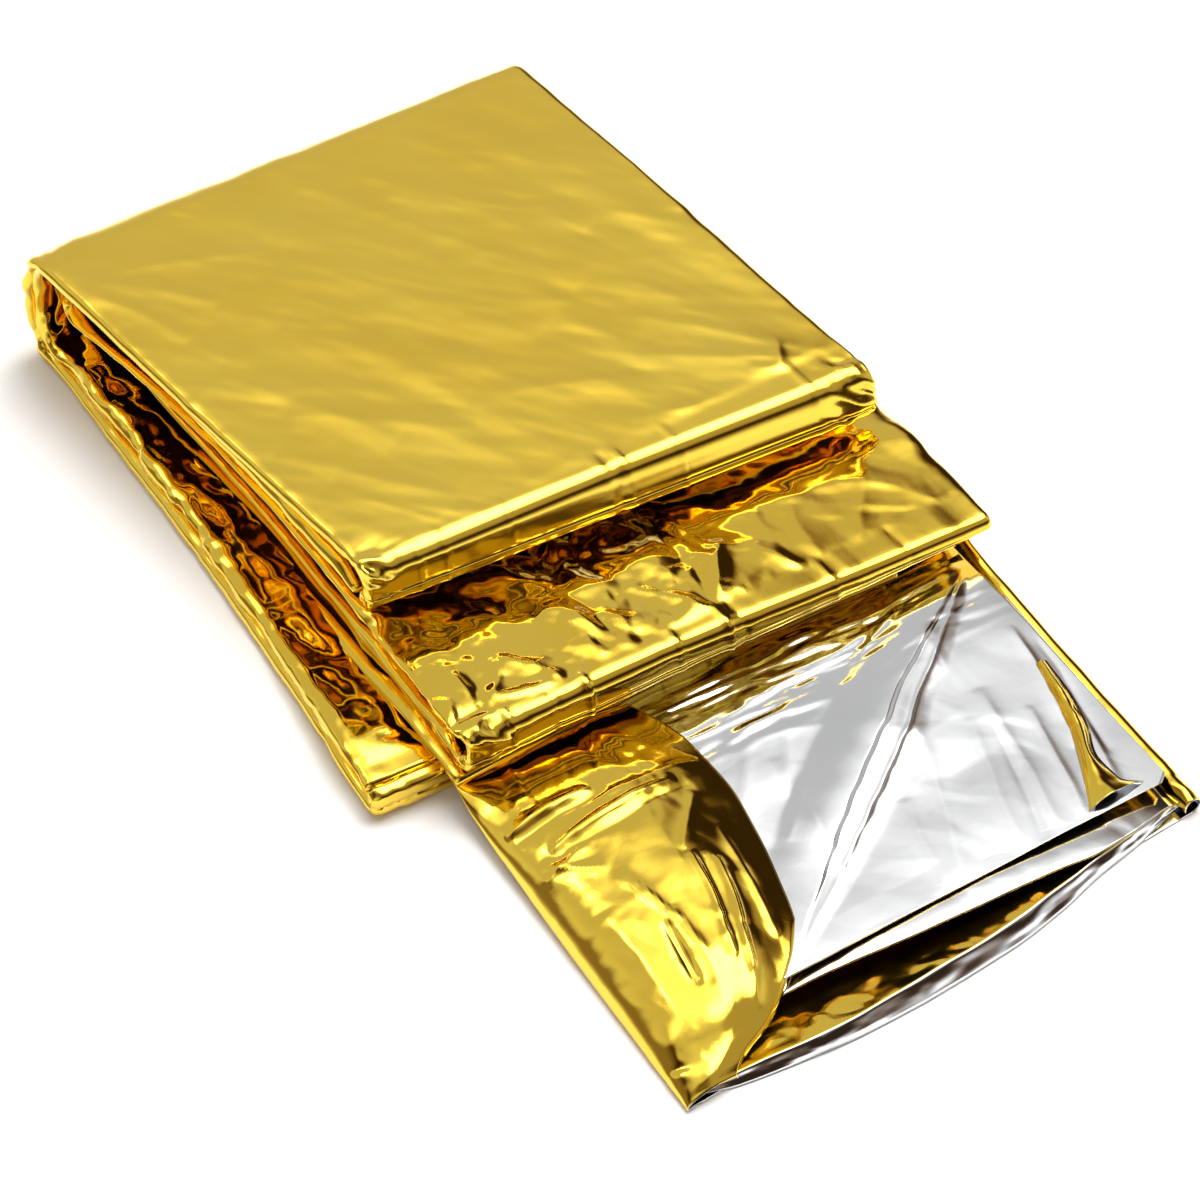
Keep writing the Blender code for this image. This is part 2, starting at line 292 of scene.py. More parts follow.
def fold_line(name, v):
    """Furthest reach of a fold in plan, a share v of the way along its straight line."""
    left_x, left_y, right_x, right_y = FOLDS[name][:4]
    return between(left_x, right_x, v), between(left_y, right_y, v)


def fold_depth(name, v):
    """Depth of a fold from its furthest reach back to the ends of its runs."""
    return between(*FOLDS[name][4:6], v)


def outward(name):
    """Level unit vector square to a fold's line, away from its runs."""
    left_x, left_y, right_x, right_y = FOLDS[name][:4]
    length = math.hypot(right_x - left_x, right_y - left_y)
    towards = 1 if name.endswith("back") else -1
    return -(right_y - left_y) / length * towards, (right_x - left_x) / length * towards


def run_end(name, v):
    """End of the runs at a fold: its line, moved back by its depth."""
    x, y = fold_line(name, v)
    out = outward(name)
    return x - out[0] * fold_depth(name, v), y - out[1] * fold_depth(name, v)


def run_height(run, y, v):
    """Height of a run's middle surface at y, a share v of the way across."""
    z = between(*curves(y, HEIGHTS[run]), v)
    if run == "middle":
        height, window = MIDDLE_SWELL
        z = z + height * bell(v, y, window)
    return z


def run_point(run, u, v):
    """Point on a run: straight between its two fold lines, its sides bowed by half a wave."""
    first, second, bow = RUNS[run]
    (x0, y0), (x1, y1) = run_end(first, v), run_end(second, v)
    x, y = between(x0, x1, u) + bow * np.sin(math.pi * u), between(y0, y1, u)
    return np.stack([x, y, run_height(run, y, v)], axis=-1)


def fold_rows(run, next_run, count, v):
    """Rows round a fold: a flattened half circle, or the profile in FACES."""
    name = RUNS[run][1]
    start, end = run_point(run, np.ones_like(v), v), run_point(next_run, np.zeros_like(v), v)
    out, depth = outward(name), fold_depth(name, v)
    t = np.linspace(0, 1, count + 1)[1:-1, None]
    if name in FACES:
        fall, left_reach, right_reach = curves(t, FACES[name])
        reach = between(left_reach, right_reach, ease(v / REACH_CHANGE))
    else:
        roundness = FOLDS[name][6]
        reach = np.sin(math.pi * t) ** roundness
        fall = np.sign(np.cos(math.pi * t)) * np.abs(np.cos(math.pi * t)) ** roundness
    ends = start[:, :2] + (end[:, :2] - start[:, :2]) * (1 - fall[..., None]) / 2
    x = ends[..., 0] + out[0] * reach * depth
    y = ends[..., 1] + out[1] * reach * depth
    z = (start[:, 2] + end[:, 2]) / 2 + (start[:, 2] - end[:, 2]) / 2 * fall
    return np.stack([x, y, z], axis=-1)


def shares(length, stops):
    """Shares along a run. Each stop: (share, millimetres from row to row after it)."""
    steps = [
        max(1, round((end - start) * length / spacing))
        for (start, spacing), (end, _) in zip(stops, stops[1:])
    ]
    return spaced([(start, count) for (start, _), count in zip(stops, [*steps, 0])])


def path_grid(path, v):
    """Middle surface of part of the strip, run after fold after run, as rows across it.

    Each part of the path: (run, its stops), or ("fold", (run, next run, rows))."""
    rows = []
    for name, detail in path:
        if name == "fold":
            rows.append(fold_rows(*detail, v))
            continue
        ends = run_point(name, np.array([0.0, 1.0]), np.array([0.5, 0.5]))
        along = shares(float(np.linalg.norm(ends[1] - ends[0])), detail)
        rows.append(run_point(name, along[:, None], v[None, :] * np.ones((len(along), 1))))
    return np.concatenate(rows)


def unit(vectors):
    """Vectors in the same directions, each divided by its length."""
    return vectors / np.maximum(np.linalg.norm(vectors, axis=-1, keepdims=True), 1e-12)


def path_frame(path, v):
    """Middle surface of part of the strip, its normals, and its directions to the right."""
    middle = path_grid(path, v)
    across = np.gradient(middle, v, axis=1)
    return middle, unit(np.cross(across, np.gradient(middle, axis=0))), unit(across)


EDGE_STEPS = 7, 5              # columns round the bend of an edge, on top and below
RIM_WIDTH = 9                  # the edges sway sideways, and the sway fades over this inwards


def across_steps(edge, edge_steps, count):
    """Shares across the strip: points evenly round a quarter circle at both edges, seen
    from above, and evenly spaced between them."""
    bend = edge * (1 - np.cos(np.linspace(0, math.pi / 2, edge_steps + 1))) / STRIP_WIDTH
    flat = np.linspace(bend[-1], 1 - bend[-1], count + 1)
    return np.concatenate([bend[:-1], flat, 1 - bend[:-1][::-1]])


def edge_distance(a):
    """Distance to the strip's nearer edge, from the distance a to its left one."""
    return np.minimum(a, STRIP_WIDTH - a)


def uneven_edge(s, amount, length, seed):
    """Factor on the edge's radius: 1 and soft noise along the strip."""
    return 1 + amount * soft_noise(s / length, 0 * s, seed)


def tube(path, plus, minus, edge, counts, wobble, uneven, wrinkle):
    """Skin of the pressed strip: a flattened tube round its middle surface.

    Its half thickness is that of an ellipse as wide as the edge's radius. plus and minus
    are the skin's heights on both sides of the middle surface, and counts its columns on
    top and below. wobble is how far its edges sway. From the points p, the distance s
    along the strip and a from its left edge, uneven gives the changes of plus and minus
    and the edge radius's factor, and wrinkle gives how far the skin moves outwards.
    """
    top_v, under_v = (across_steps(edge, *each) for each in zip(EDGE_STEPS, counts))
    v = np.concatenate([top_v, under_v[-2:0:-1]])
    side = np.concatenate([np.ones(len(top_v)), -np.ones(len(under_v) - 2)])
    middle, normal, sideways = (
        np.concatenate([top, under[:, -2:0:-1]], axis=1)
        for top, under in zip(path_frame(path, top_v), path_frame(path, under_v))
    )
    centre = path_grid(path, np.array([0.5]))[:, 0]
    walked = np.concatenate([[0], np.cumsum(np.linalg.norm(np.diff(centre, axis=0), axis=1))])
    s = walked[:, None] * np.ones_like(v)
    a = v[None, :] * STRIP_WIDTH * np.ones_like(s)
    near = edge_distance(a)
    plus_change, minus_change, factor = uneven(middle, s, a)
    upper, lower = plus + plus_change, minus + minus_change
    bulge = np.sqrt(np.clip(1 - (1 - np.clip(near / (edge * factor), 0, 1)) ** 2, 0, 1))
    level, half = (upper + lower) / 2, (upper - lower) / 2
    points = middle + normal * (level + side * half * bulge)[..., None]
    rim = np.exp(-near / RIM_WIDTH) * np.where(a < STRIP_WIDTH - a, -1, 1)
    sway = soft_noise(s / 37, 0 * a + 5.5, 11) + 0.4 * soft_noise(s / 11, 0 * a, 12)
    points = points + sideways * (rim * wobble * sway)[..., None]
    ring = np.concatenate([points[:, -1:], points, points[:, :1]], axis=1)
    skin_across = (ring[:, 2:] - ring[:, :-2]) / 2
    skin = unit(np.cross(skin_across, np.gradient(points, axis=0)))
    points = points + skin * wrinkle(points, s, a)[..., None]
    points[..., 2] = np.maximum(points[..., 2], LOWEST)
    return points, float(walked[-1])


def ring_faces(rows, columns):
    """Quads of a tube that closes on itself across, with a cap at both ends."""
    index = np.arange(rows * columns).reshape(rows, columns)
    right = np.roll(index, -1, axis=1)
    quads = np.stack([index[:-1], right[:-1], right[1:], index[1:]], axis=-1).reshape(-1, 4)
    return quads.tolist() + [index[0, ::-1].tolist(), index[-1].tolist()]


def linked(name, data):
    """New object in the scene."""
    obj = bpy.data.objects.new(name, data)
    bpy.context.collection.objects.link(obj)
    return obj


def made_mesh(name, points, faces, slots, finish=None):
    """Piece from points in the folder's plan. The sign of the volume that its triangles
    enclose says whether its faces are turned outwards already."""
    mesh = bpy.data.meshes.new(name)
    mesh.from_pydata(((points.reshape(-1, 3) - ORIGIN) * MM).tolist(), [], faces)
    mesh.polygons.foreach_set("use_smooth", np.ones(len(mesh.polygons), bool))
    for material in slots:
        mesh.materials.append(material)
    if finish is not None:
        mesh.polygons.foreach_set("material_index", finish)
    mesh.update()
    obj = linked(name, mesh)
    corners = np.empty(3 * len(mesh.vertices), np.float32)
    mesh.vertices.foreach_get("co", corners)
    mesh.calc_loop_triangles()
    triangles = np.empty(3 * len(mesh.loop_triangles), np.int32)
    mesh.loop_triangles.foreach_get("vertices", triangles)
    a, b, c = corners.reshape(-1, 3)[triangles.reshape(-1, 3).T].astype(float)
    if (a * np.cross(b, c)).sum() < 0:
        mesh.flip_normals()
    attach(obj, "root")
    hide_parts("foil_blanket")
    return obj


def strip_skin(name, finish, path, **form):
    """Closed skin of part of the strip, and the flat size of what it covers."""
    points, length = tube(path, **form)
    obj = made_mesh(name, points, ring_faces(*points.shape[:2]), [finish])
    return obj, (STRIP_WIDTH * MM, length * MM)


def sheet_skins(grid, thickness):
    """Both skins of a thin sheet: its middle surface moved half the thickness each way."""
    normal = unit(np.cross(np.gradient(grid, axis=1), np.gradient(grid, axis=0)))
    half = normal * np.sign(normal[len(normal) // 2, 2, 2]) * thickness / 2
    points = np.concatenate([(grid + half).reshape(-1, 3), (grid - half).reshape(-1, 3)])
    points[:, 2] = np.maximum(points[:, 2], LOWEST)
    return points


def sheet_faces(rows, columns):
    """Faces of a thin sheet: one skin, the other, and the rim between them."""
    each = rows * columns
    index = np.arange(each).reshape(rows, columns)
    top = np.stack([index[:-1, :-1], index[:-1, 1:], index[1:, 1:], index[1:, :-1]], axis=-1)
    low = top[..., ::-1] + each
    rim = np.concatenate([index[0, :-1], index[:-1, -1], index[-1, :0:-1], index[:0:-1, 0]])
    after = np.roll(rim, -1)
    edge = np.stack([after, rim, rim + each, after + each], axis=-1)
    return np.concatenate([top.reshape(-1, 4), low.reshape(-1, 4), edge])


def thin_sheet(name, grid, thickness, upper, lower, turned=0):
    """Sheet with one finish on its upper skin, and another on its rim, its lower skin and
    the last rows of the upper, as many as turned says. Its flat size is its grid's mean
    width and length."""
    rows, columns = grid.shape[:2]
    faces = sheet_faces(rows, columns)
    each = (rows - 1) * (columns - 1)
    finish = np.concatenate([np.zeros(each, int), np.ones(len(faces) - each, int)])
    finish[each - turned * (columns - 1) : each] = 1
    obj = made_mesh(name, sheet_skins(grid, thickness), faces.tolist(), [upper, lower], finish)
    length = np.linalg.norm(np.diff(grid, axis=0), axis=-1).sum(axis=0).mean()
    width = np.linalg.norm(np.diff(grid, axis=1), axis=-1).sum(axis=1).mean()
    return obj, (width * MM, length * MM)


# Materials


class Maths:
    """A socket, or a number, that takes part in sums as Math nodes."""

    def __init__(self, tree, value):
        self.tree, self.value = tree, value

    def node(self, operation, *values):
        """Math node with these values or links."""
        made = self.tree.nodes.new("ShaderNodeMath")
        made.operation = operation
        for socket, value in zip(made.inputs, map(raw, values)):
            if isinstance(value, (int, float)):
                socket.default_value = value
            else:
                self.tree.links.new(value, socket)
        return Maths(self.tree, made.outputs[0])

    def __add__(self, other):
        return self.node("ADD", self, other)

    def __radd__(self, other):
        return self.node("ADD", other, self)

    def __sub__(self, other):
        return self.node("SUBTRACT", self, other)

    def __rsub__(self, other):
        return self.node("SUBTRACT", other, self)

    def __mul__(self, other):
        return self.node("MULTIPLY", self, other)

    def __rmul__(self, other):
        return self.node("MULTIPLY", other, self)

    def clamped(self, low, high):
        """The value, held between a lowest and a highest one."""
        return self.node("MAXIMUM", self.node("MINIMUM", self, high), low)


def raw(value):
    """The socket or number in a Maths value, and anything else as it is."""
    return value.value if isinstance(value, Maths) else value


class Nodes:
    """A node tree, and short ways to add nodes to it."""

    def __init__(self, tree):
        self.tree = tree

    def fill(self, made, **sockets):
        """Give a node's sockets their values or links."""
        for key, value in sockets.items():
            socket, value = made.inputs[key.replace("_", " ")], raw(value)
            if isinstance(value, bpy.types.NodeSocket):
                self.tree.links.new(value, socket)
            else:
                socket.default_value = value
        return made

    def node(self, kind, settings=None, **sockets):
        """Any node: its settings first, then values or links for its sockets."""
        made = self.tree.nodes.new(kind)
        for key, value in (settings or {}).items():
            setattr(made, key, value)
        return self.fill(made, **sockets)

    def place(self, scale=(1, 1, 1), turn=(0, 0, 0)):
        """Object coordinates, turned and scaled."""
        coordinates = self.node("ShaderNodeTexCoord").outputs["Object"]
        mapping = self.node("ShaderNodeMapping", Vector=coordinates, Scale=scale, Rotation=turn)
        return mapping.outputs["Vector"]

    def noise(self, vector, scale, detail=2.0, roughness=0.5, distortion=0.0):
        """Noise from 0 to 1, its scale in cells per metre."""
        made = self.node("ShaderNodeTexNoise", Vector=vector, Scale=scale, Detail=detail,
                         Roughness=roughness, Distortion=distortion)
        return Maths(self.tree, made.outputs["Fac"])

    def mix(self, factor, first, second):
        """Colour from the first to the second as the factor goes from 0 to 1."""
        made = self.node("ShaderNodeMix", {"data_type": "RGBA"}, Factor=factor,
                         A=(*first, 1), B=(*second, 1))
        return made.outputs["Result"]


class Finish(Nodes):
    """One material: its node tree and its Principled BSDF."""

    def __init__(self, name):
        self.material = bpy.data.materials.new(name)
        self.material.use_nodes = True
        super().__init__(self.material.node_tree)
        self.shader = self.tree.nodes["Principled BSDF"]


LINES_STRETCH, LINES_TURN = (1.0, 0.35, 1.0), (0, 0, 0.6)   # of a foil's long fine wrinkles
TINT_CELLS, GLOSS_CELLS = 14.0, 45.0                        # of its tint and gloss, per metre
COAT_WEIGHT, COAT_IOR = 0.5, 1.45


def foil(name, light, deep, rough, rough_spread, wrinkle, cell):
    """Metallised film: small wrinkles as bump, uneven gloss, and a slightly uneven tint.

    wrinkle is their height and cell their size, in millimetres. They are six parts of
    rounded dents and four of lines about twice as long, both noise."""
    finish = Finish(name)
    place = finish.place()
    scale = 1 / (cell * MM)
    dents = finish.noise(place, scale, detail=3.0, roughness=0.55, distortion=0.6)
    long_way = finish.place(LINES_STRETCH, LINES_TURN)
    lines = finish.noise(long_way, scale / 2.2, distortion=0.3)
    tint, gloss = finish.noise(place, TINT_CELLS), finish.noise(place, GLOSS_CELLS, detail=3.0)
    bump = finish.node("ShaderNodeBump", Strength=1.0, Distance=wrinkle * MM,
                       Height=(dents * 0.6 + lines * 0.4))
    finish.fill(
        finish.shader, Normal=bump.outputs["Normal"], Metallic=1.0,
        Base_Color=finish.mix(((tint - 0.3) * 2.2).clamped(0, 1), light, deep),
        Roughness=((gloss - 0.5) * rough_spread + rough).clamped(0.04, 0.6),
        Coat_Weight=COAT_WEIGHT, Coat_IOR=COAT_IOR, Coat_Roughness=rough,
    )
    return finish.material


satin_gold = foil(
    "satin_gold_film", light=(0.96, 0.68, 0.07), deep=(0.94, 0.63, 0.05),
    rough=0.15, rough_spread=0.05, wrinkle=0.05, cell=16,
)
gloss_gold = foil(
    "gloss_gold_film", light=(0.96, 0.68, 0.065), deep=(0.94, 0.62, 0.045),
    rough=0.08, rough_spread=0.04, wrinkle=0.08, cell=10,
)
silver = foil(
    "silver_film", light=(0.82, 0.835, 0.855), deep=(0.77, 0.785, 0.815),
    rough=0.11, rough_spread=0.05, wrinkle=0.07, cell=12,
)

# Outer wrap: the front face of the top run, the run itself, round the back to the base


def wrap_uneven(p, s, a):
    """Its inner side hangs lower at the left lip, by an exponential of the distance from
    the edge, and swells softly. Its edges are sharper in front and on the right."""
    y, z = p[..., 1], p[..., 2]
    swell = soft_noise(s / 38, a / 60, 31)
    front = ease((-232 - y) / 18) * ease((z - 20) / 10)
    edge = uneven_edge(s, 0.25, 50, 32) - 0.4 * front - 0.2 * ease((a - 130) / 8)
    return 0 * s, -1.6 * np.exp(-a / 30) + 0.4 * swell, edge


# Each row: (x, y at one end, x, y at the other, height, half width)
TOP_CREASES = (
    (-2, -8, 46, -70, 0.9, 5.0), (-1, -12, 22, -84, 0.8, 4.0), (2, -16, 84, -52, 0.6, 6.0),
    (262, -262, 180, -205, 1.0, 6.0), (258, -268, 214, -238, 1.2, 3.0),
    (250, -250, 195, -180, 0.9, 7.0), (240, -262, 150, -236, 0.7, 5.0),
    (30, -150, 92, -205, 0.8, 9.0), (20, -110, 60, -190, 0.7, 8.0),
    (150, -30, 215, -120, 0.9, 12.0), (120, -20, 190, -150, 0.7, 14.0),
    (236, -232, 222, -250, 1.3, 1.6), (222, -250, 240, -254, 1.1, 1.4),
    (60, -100, 110, -180, 0.6, 10.0), (90, -60, 150, -170, 0.6, 14.0),
    (12, -170, 60, -236, 0.8, 6.0), (20, -200, 44, -244, 0.7, 4.0),
    (110, -190, 170, -214, 0.6, 7.0),
)
# Short pinches across the front crest of the top run. Each row: (x, height, half width)
TOP_PINCHES = ((26, 0.5, 0.9), (39, 0.6, 0.8), (71, 0.25, 0.8), (120, 0.35, 2.2), (125, -0.4, 1.2),
               (131, 0.5, 1.6), (158, 0.4, 0.9), (228, 0.4, 1.2))
# The top run's front corners, left and right, and the base's front left corner.
# Each row: (height, x, y, half width, half length, cell, seed)
WRAP_CORNERS = (
    (3.6, 2, -250, 15, 11, 9, 145), (3.2, 252, -270, 14, 12, 7, 151),
    (1.3, -38, -322, 9, 12, 6, 161),
)
BACK_CORNER = (2, 4, 14, 14)   # the back left corner's bell


def wrap_wrinkle(p, s, a):
    """Wrinkles of the outer wrap: streaks and creases on top, facets on the back and the
    base, pinches on the front crest, and crumpled edges and corners. Eased windows in y and
    z hold each of them to its own part."""
    x, y, z = p[..., 0], p[..., 1], p[..., 2]
    near = edge_distance(a)
    upper = ease((z - 44) / 10)
    back = ease((y + 4) / 14)
    front = ease((-243 - y) / 8) * ease((z - 25) / 8)
    top = upper * (1 - back) * (1 - front)
    h = top * 0.42 * streaks(x, y, 30, 101, 3.6, -1.28)
    h += top * 0.19 * streaks(x, y, 12, 105, 2.8, -0.9)
    h += top * 0.07 * streaks(x, y, 5, 107, 3.5, -1.1)
    h += top * 0.5 * creases(x, y, TOP_CREASES)
    h += back * (1.3 * crumple(s, a, 30, 111) + 0.35 * crumple(s, a, 12, 114))
    h += back * 2.2 * np.exp(-near / RIM_WIDTH) * crumple(s, near, 11, 117)
    low = (1 - upper) * (1 - back) * (1 - front)
    calm = 1 - 0.75 * ease((-306 - y) / 10)
    h += low * calm * (0.8 * crumple(x, y, 19, 121) + 0.3 * crumple(s, a, 9, 124))
    h += front * (1.1 * pinches(x, TOP_PINCHES) + 0.2 * crumple(x, z, 46, 128))
    h += edge_crumple(s, near, 0.35, 14, 131)
    h = crumpled_corners(h, p, WRAP_CORNERS)
    return h + 1.6 * bell(x, y, BACK_CORNER) * crumple(x + z, y + z, 10, 171)


outer_wrap, wrap_size = strip_skin(
    "outer_wrap", satin_gold,
    (
        ("fold", ("top_return", "top", 58)),
        ("top", ((0, 1.5), (0.12, 1.9), (0.97, 1.5), (1, 0))),
        ("fold", ("top", "base", 54)),
        ("base", ((0, 3.0), (1, 0))),
        ("fold", ("base", "inner_base", 26)),
    ),
    plus=1.2, minus=-3.4, edge=5.0, counts=(150, 46), wobble=0.5,
    uneven=wrap_uneven, wrinkle=wrap_wrinkle,
)

# Inner wrap: the plies nested inside it, from the base's rim up to the front of the top

# The base's rim, left and right. Each: (distance of its crest from the edge, half width)
LEFT_RIM, RIGHT_RIM = (5, 4), (9, 9)
# The top run's front left corner and the base's, hidden in part by the wrap's.
# Each row: (height, x, y, half width, half length, cell, seed)
NESTED_CORNERS = ((1.6, 0, -250, 12, 12, 8, 231), (1.5, -40, -312, 8, 12, 7, 241))
NESTED_FRONT = (-20, -292, 20, 14)   # bell at the base's front left, with finer facets


def nested_uneven(p, s, a):
    """The nested plies puff up along the base's rims: bells round a crest, with soft noise,
    and a straight slope from the left edge. They are thinner between the rims, deeper at
    the front, and fill up the space under the top run."""
    y, z = p[..., 1], p[..., 2]
    low = ease((30 - z) / 12) * ease((-6 - y) / 30) * ease((y + 322) / 40)
    left, right = (
        np.exp(-(((distance - crest) / width) ** 2))
        for distance, (crest, width) in ((a, LEFT_RIM), (STRIP_WIDTH - a, RIGHT_RIM))
    )
    rim = (left + 1.6 * right) * (1 + 0.3 * soft_noise(s / 16, a / 40, 41))
    rim = rim + 3.9 * np.clip(1 - a / 34, 0, 1)
    thin = ease((a - 22) / 22)
    front = ease((-285 - y) / 30) * (1 - ease((30 - z) / -12))
    upper = (1 - low) * ease((z - 34) / 5) * (1 - ease((-222 - y) / 26))
    inside = low * (0.8 * thin) - 1.2 * front - 4.6 * upper
    return low * (rim - 1.8 * thin), inside, uneven_edge(s, 0.3, 40, 42)


def nested_wrinkle(p, s, a):
    """Wrinkles of the nested plies: facets of two sizes in the recess over the base, larger
    ones along its rims, calmer ones in front, and crumpled edges and corners."""
    x, y, z = p[..., 0], p[..., 1], p[..., 2]
    near = edge_distance(a)
    low = ease((30 - z) / 12)
    calm = 1 - 0.8 * ease((-304 - y) / 8)
    h = low * calm * (1.5 * crumple(x, y, 16, 201, 1.3, 1.2) + 0.6 * crumple(x, y, 8, 205))
    h += 1.6 * bell(x, y, NESTED_FRONT) * calm * crumple(x, y, 9, 261)
    h += low * ease((y + 190) / 60) * np.exp(-near / 30) * 2.4 * crumple(x, y, 9, 251)
    h += (1 - low) * 0.5 * crumple(s, a, 22, 211)
    h += edge_crumple(s, near, 0.5, 11, 221)
    return crumpled_corners(h, p, NESTED_CORNERS)


nested_plies, nested_size = strip_skin(
    "nested_plies", gloss_gold,
    (
        ("inner_base", ((0, 2.0), (1, 0))),
        ("fold", ("inner_base", "inner_top", 44)),
        ("inner_top", ((0, 3.0), (0.985, 0))),
    ),
    plus=1.3, minus=-2.0, edge=8.0, counts=(90, 40), wobble=0.8,
    uneven=nested_uneven, wrinkle=nested_wrinkle,
)

# Middle plies: from inside the stack round the back, the middle run, and its front fold

FILL_GAP = 4.6                 # left between the filled lower run and the upper one's middle


def middle_uneven(p, s, a):
    """The lower run is filled up to the upper one a little way in from the edges: eased
    windows times the room between them. The edges are sharper in front, rounder behind."""
    y, z = p[..., 1], p[..., 2]
    near = edge_distance(a)
    room = np.maximum(run_height("middle", y, a / STRIP_WIDTH) - z - FILL_GAP, 0)
    fill = room * (z < 24) * ease((near - 18) / 7) * ease((-10 - y) / 30) * ease((y + 276) / 24)
    front = ease((-320 - y) / 18)
    edge = uneven_edge(s, 0.25, 45, 52) - 0.5 * front + 0.6 * ease((y + 262) / 22)
    return 0 * s, -0.8 * soft_noise(s / 40, a / 70, 51) - fill, edge


# Each row: (x, y at one end, x, y at the other, height, half width)
MIDDLE_CREASES = (
    (240, -285, 190, -348, 0.5, 5.0), (190, -290, 176, -348, 0.4, 6.0),
    (228, -300, 250, -340, 0.5, 4.0), (150, -296, 122, -338, 2.2, 3.0),
    (122, -338, 134, -300, -1.6, 2.5), (100, -300, 122, -338, 1.4, 2.5),
    (30, -300, 44, -334, 2.0, 3.0), (44, -334, 14, -322, 1.8, 2.5), (60, -290, 96, -328, 1.6, 5.0),
    (84, -332, 66, -300, 1.4, 3.5), (10, -290, 4, -332, 1.4, 3.0), (4, -332, 30, -306, 1.5, 2.5),
    (176, -348, 160, -310, 1.2, 3.0), (140, -280, 230, -300, 0.5, 7.0),
)
# Short pinches across the front crest of the middle run. Each row: (x, height, half width)
MIDDLE_PINCHES = ((12, 1.0, 1.4), (34, -0.7, 1.6), (50, 1.3, 1.6), (96, 0.7, 1.2), (121, 1.4, 1.8),
                  (128, -0.8, 1.6), (176, 0.8, 1.4), (215, -0.4, 1.6))
# The front left corner. The row: (height, x, y, half width, half length, cell, seed)
MIDDLE_CORNERS = ((3.2, -4, -334, 16, 12, 7, 331),)


def middle_wrinkle(p, s, a):
    """Wrinkles of the middle run: crisp facets on its left part, soft folds on its right,
    creases on both, pinches on the front crest, and crumpled edges and corner."""
    x, y, z = p[..., 0], p[..., 1], p[..., 2]
    near = edge_distance(a)
    seen = ease((-225 - y) / 20)
    front = ease((-328 - y) / 8)
    left = ease((190 - x) / 70)
    open_top = seen * (1 - front)
    h = open_top * (0.35 + 0.5 * ease((y + 308) / 20) + 1.9 * left) * crumple(x, y, 18, 301)
    h += open_top * (0.1 + 0.5 * left) * crumple(x, y, 8, 305)
    h += open_top * (1 - left) * 0.7 * streaks(x, y, 16, 341, 3.0, 2.5)
    h += (1 - seen) * 0.5 * crumple(s, a, 22, 311)
    h += open_top * 0.8 * creases(x, y, MIDDLE_CREASES)
    h += front * (0.8 * pinches(x, MIDDLE_PINCHES) + 0.7 * crumple(x, z, 24, 315))
    h += edge_crumple(s, near, 0.4, 13, 321)
    return crumpled_corners(h, p, MIDDLE_CORNERS)


middle_plies, middle_size = strip_skin(
    "middle_plies", gloss_gold,
    (
        ("middle_return", ((0.10, 8), (0.85, 3), (1, 0))),
        ("fold", ("middle_return", "middle", 34)),
        ("middle", ((0, 1.35), (0.32, 6), (0.9, 4), (1, 0))),
        ("fold", ("middle", "top_return", 14)),
        ("top_return", ((0, 7), (0.7, 0))),
    ),
    plus=1.4, minus=-2.2, edge=7.0, counts=(180, 46), wobble=0.7,
    uneven=middle_uneven, wrinkle=middle_wrinkle,
)

# Long plies: the long run as far as the opened mouth


def long_uneven(p, s, a):
    """Its thickness is even, and only its edge's radius changes softly."""
    return 0 * s, 0 * s, uneven_edge(s, 0.25, 45, 62)


def long_wrinkle(p, s, a):
    """Wrinkles of the long plies: shallow facets, and smaller ones along the edges."""
    h = 0.6 * crumple(p[..., 0], p[..., 1], 20, 401)
    return h + edge_crumple(s, edge_distance(a), 0.35, 14, 411)


long_plies, long_size = strip_skin(
    "long_plies", gloss_gold,
    (
        ("long", ((0.36, 3.0), (1, 0))),
        ("fold", ("long", "middle_return", 16)),
        ("middle_return", ((0, 8), (0.112, 0))),
    ),
    plus=3.2, minus=-1.0, edge=6.0, counts=(80, 40), wobble=0.5,
    uneven=long_uneven, wrinkle=long_wrinkle,
)

# The opened mouth

MOUTH_FILM, PLEAT_FILM = 0.4, 0.3   # thickness of its sheets, and of its pleat

# Each row: (y, reach inwards from the edge, reach of its ridge, ridge height, free edge height)
FLAP = (
    (-336, 86, 50, 13.2, 11.2), (-346, 90, 52, 14.4, 11.4), (-372, 97, 56, 18.8, 12.0),
    (-400, 98, 57, 21.6, 12.8), (-430, 94, 55, 22.2, 12.8), (-456, 88, 52, 21.4, 12.8),
    (-476, 82, 48, 19.8, 13.2), (-487, 75, 43, 18.0, 13.4), (-496, 65, 37, 15.8, 12.8),
    (-506, 50, 30, 11.6, 9.6), (-515, 29, 18, 8.4, 7.0), (-519, 25, 15, 6.0, 4.4),
)
CURL_FOOT = 1.4                # the curled edge turns this far above the ply below
CUFF_DROP = 2.6                # the flap's free edge dips this far near the front
# Each row: (y, diameter of the rolled right edge)
RIGHT_ROLL = ((-336, 4.4), (-360, 5.4), (-385, 7.0), (-450, 8.2), (-500, 8.6), (-519, 7.8))
ROLL_TURN = 1.62               # the rolled edge goes round this far, in half turns
COVER_ROWS = ((-327, 131), (-500, 1), (-501.2, 17), (-519, 0))   # (y, rows on to the next)
FLAP_COLUMNS, CURL_COLUMNS, FOOT_COLUMNS, UNDER_COLUMNS, ROLL_COLUMNS = 42, 51, 4, 46, 25
CREASED_COLUMNS, FADE_COLUMNS = 72, 26   # the flap's creases cover these, then fade over these
FLAP_MIDDLE, FLAP_TIP = (-8, -400, 18, 16), (-26, -506, 12, 12)   # bells with deeper facets
RIGHT_TIP = ((2.2, 228, -514, 14, 10, 9, 541),)   # crumpled corner, a row as in WRAP_CORNERS
